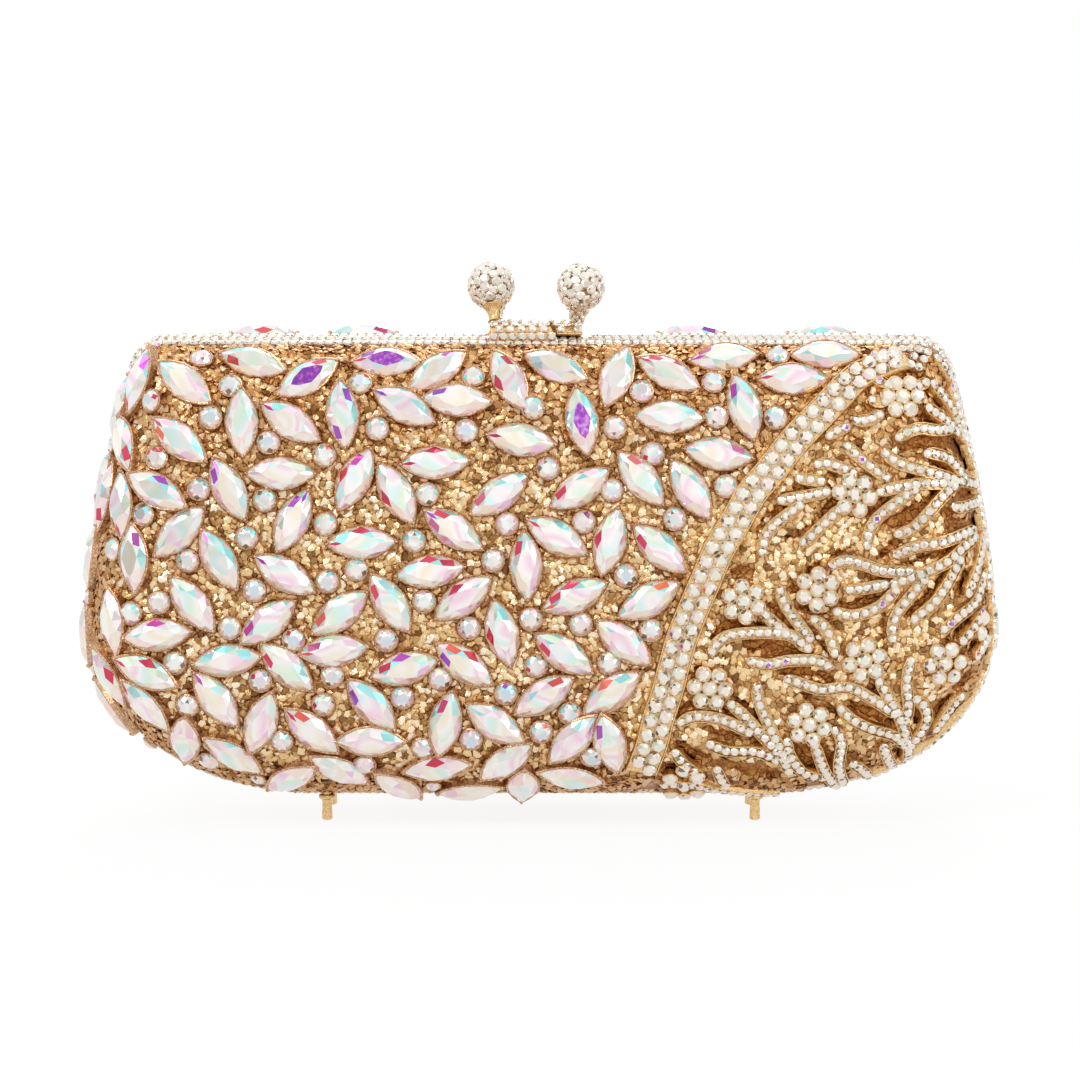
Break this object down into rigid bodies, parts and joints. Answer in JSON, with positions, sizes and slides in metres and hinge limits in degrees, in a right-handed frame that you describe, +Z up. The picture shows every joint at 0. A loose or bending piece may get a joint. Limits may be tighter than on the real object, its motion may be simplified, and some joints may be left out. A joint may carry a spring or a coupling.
{
  "type": "crystal evening clutch",
  "caption": "Hard evening clutch: two hinged gold castings set with crystals, kiss-lock clasp with two balls, lined inside, small peg feet.",
  "frame": {"origin": "on the ground under the middle of the bag, between the four feet", "axes": "+X along the width, to the right seen from the front; -Y is the front; +Z up"},
  "size_m": [0.2066, 0.0608, 0.1264],
  "materials": {
    "gold": "gold-plated casting with a rough glittering ground and bright edges",
    "pave_crystal": "small white iridescent round crystals set close in gold",
    "lining_suede": "champagne suede cloth",
    "steel": "plain"
  },
  "bodies": {
    "back_half": {"back_casting": "gold", "back_lining": "lining_suede", "back_frame": "gold", "back_hinge_leaf": "gold", "back_hinge_screw_1": "steel", "back_hinge_screw_2": "steel", "back_hinge_screw_3": "steel", "back_foot_left": "gold", "back_foot_right": "gold", "back_foot_nut_left": "steel", "back_foot_nut_right": "steel", "back_pave_band": "pave_crystal", "back_clasp_bar": "pave_crystal", "back_clasp_neck": "pave_crystal", "back_clasp_ball": "pave_crystal", "hinge_pin": "steel", "slip_pocket": "lining_suede"},
    "front_half": {"front_casting": "gold", "front_lining": "lining_suede", "front_frame": "gold", "front_hinge_leaf": "gold", "front_hinge_screw_1": "steel", "front_hinge_screw_2": "steel", "front_hinge_screw_3": "steel", "front_foot_left": "gold", "front_foot_right": "gold", "front_foot_nut_left": "steel", "front_foot_nut_right": "steel", "front_pave_band": "pave_crystal", "front_clasp_bar": "pave_crystal", "front_clasp_neck": "gold", "front_clasp_ball": "pave_crystal"}
  },
  "joints": [
    {"name": "case_hinge", "type": "hinge", "parent": "back_half", "child": "front_half", "pos_m": [0, 0, 0.0077], "axis": [1, 0, 0], "range_deg": [0, 60]}
  ]
}
